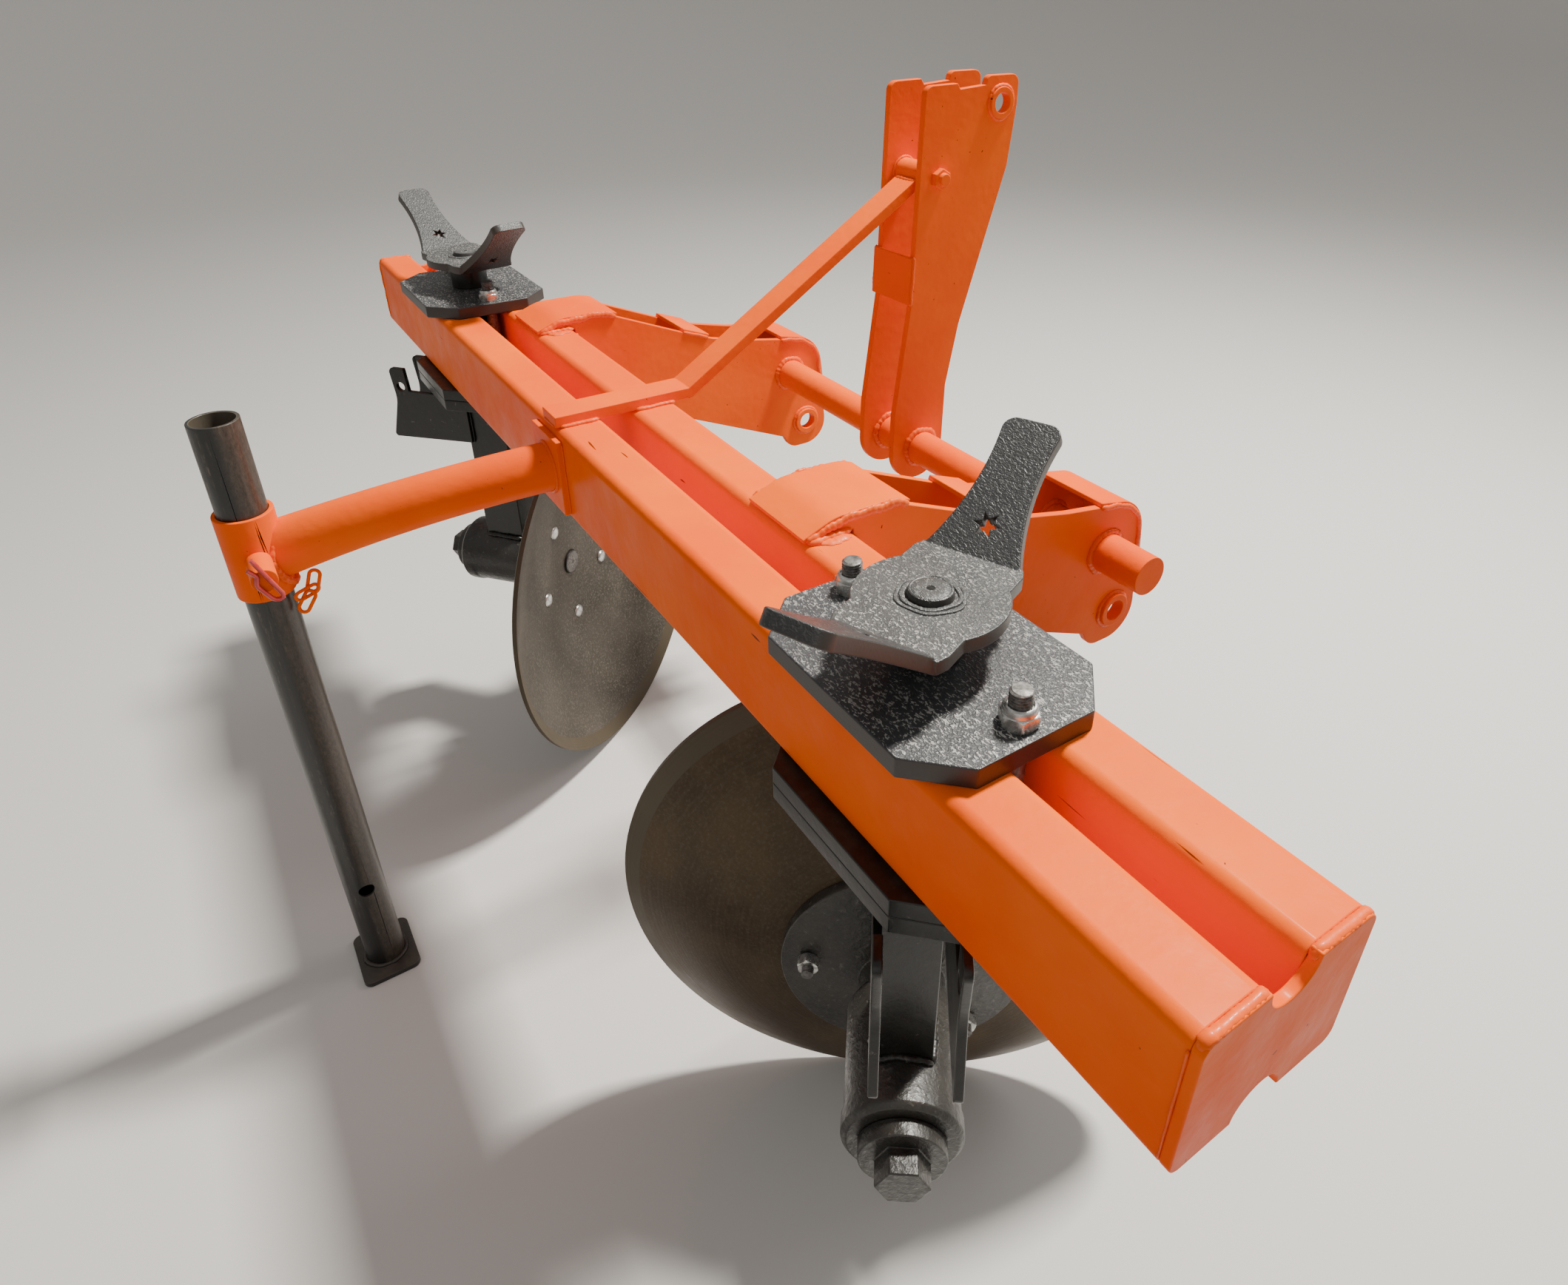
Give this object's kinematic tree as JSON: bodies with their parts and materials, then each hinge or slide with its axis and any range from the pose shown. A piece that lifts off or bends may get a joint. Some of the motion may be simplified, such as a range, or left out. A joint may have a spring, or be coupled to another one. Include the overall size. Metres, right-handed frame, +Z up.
{
  "type": "bund maker",
  "caption": "Two-disc bund maker: twin-tube toolbar, three-point hitch, slide-on disc clamps and a pinned parking stand.",
  "frame": {"origin": "on the ground, below the middle of the box round the whole implement", "axes": "+X along the toolbar to its right end, +Y forward to the tractor, +Z up"},
  "size_m": [1.88, 1.052, 1.194],
  "materials": {
    "frame_paint": "bright orange gloss paint",
    "black_paint": "black textured gloss paint",
    "stand_steel": "thin black paint, rubbed",
    "black_casting": "rough casting in black paint",
    "disc_steel": "oiled rolled steel with a ground bevel",
    "zinc": "zinc-plated bolts and lock nuts"
  },
  "bodies": {
    "frame": {"front_tube": "frame_paint", "rear_tube": "frame_paint", "end_plate_right": "frame_paint", "end_plate_left": "frame_paint", "right_arm_outer_plate": "frame_paint", "right_arm_inner_plate": "frame_paint", "right_arm_rear_cap": "frame_paint", "right_arm_nose_cap": "frame_paint", "right_arm_tie": "frame_paint", "left_arm_outer_plate": "frame_paint", "left_arm_inner_plate": "frame_paint", "left_arm_rear_cap": "frame_paint", "left_arm_nose_cap": "frame_paint", "left_arm_tie": "frame_paint", "cross_shaft": "frame_paint", "mast_plate_right": "frame_paint", "mast_plate_left": "frame_paint", "mast_rear_strap": "frame_paint", "mast_spacer": "frame_paint", "mast_bolt": "frame_paint", "brace": "frame_paint", "stand_pad": "frame_paint", "stand_boom": "frame_paint", "stand_collar": "frame_paint", "stand_pin": "frame_paint"},
    "stand": {"stand_pipe": "stand_steel", "stand_foot": "black_paint"},
    "right_clamp": {"right_clamp_top_plate": "black_paint", "right_clamp_lower_plate": "black_paint", "right_clamp_base_plate": "black_paint", "right_clamp_bolt_inner": "zinc", "right_clamp_bolt_outer": "zinc"},
    "right_carrier": {"right_stem": "black_paint", "right_handle": "black_paint", "right_standard": "black_paint", "right_ear_right": "black_paint", "right_ear_left": "black_paint", "right_hub_housing": "black_casting"},
    "right_wheel": {"right_disc": "disc_steel", "right_flange": "black_casting", "right_axle_nut": "black_casting"},
    "left_clamp": {"left_clamp_top_plate": "black_paint", "left_clamp_lower_plate": "black_paint", "left_clamp_base_plate": "black_paint", "left_clamp_bolt_inner": "zinc", "left_clamp_bolt_outer": "zinc"},
    "left_carrier": {"left_stem": "black_paint", "left_handle": "black_paint", "left_standard": "black_paint", "left_ear_right": "black_paint", "left_ear_left": "black_paint", "left_hub_housing": "black_casting"},
    "left_wheel": {"left_disc": "disc_steel", "left_flange": "black_casting", "left_axle_nut": "black_casting"}
  },
  "joints": [
    {"name": "stand_slide", "type": "slide", "parent": "frame", "child": "stand", "axis": [0, 0, 1], "range_m": [0, 0.553]},
    {"name": "right_clamp_slide", "type": "slide", "parent": "frame", "child": "right_clamp", "axis": [1, 0, 0], "range_m": [-0.04, 0.193]},
    {"name": "right_disc_angle", "type": "hinge", "parent": "right_clamp", "child": "right_carrier", "pos_m": [0.614, -0.071, 0.777], "axis": [0, 0, 1], "range_deg": [-20, 20]},
    {"name": "right_disc_spin", "type": "hinge", "parent": "right_carrier", "child": "right_wheel", "pos_m": [0.614, -0.071, 0.337], "axis": [-0.7986, 0.6018, 0], "continuous": true},
    {"name": "left_clamp_slide", "type": "slide", "parent": "frame", "child": "left_clamp", "axis": [-1, 0, 0], "range_m": [-0.03, 0.207]},
    {"name": "left_disc_angle", "type": "hinge", "parent": "left_clamp", "child": "left_carrier", "pos_m": [-0.6, -0.071, 0.777], "axis": [0, 0, -1], "range_deg": [-20, 20]},
    {"name": "left_disc_spin", "type": "hinge", "parent": "left_carrier", "child": "left_wheel", "pos_m": [-0.6, -0.071, 0.337], "axis": [0.766, 0.6428, 0], "continuous": true}
  ]
}
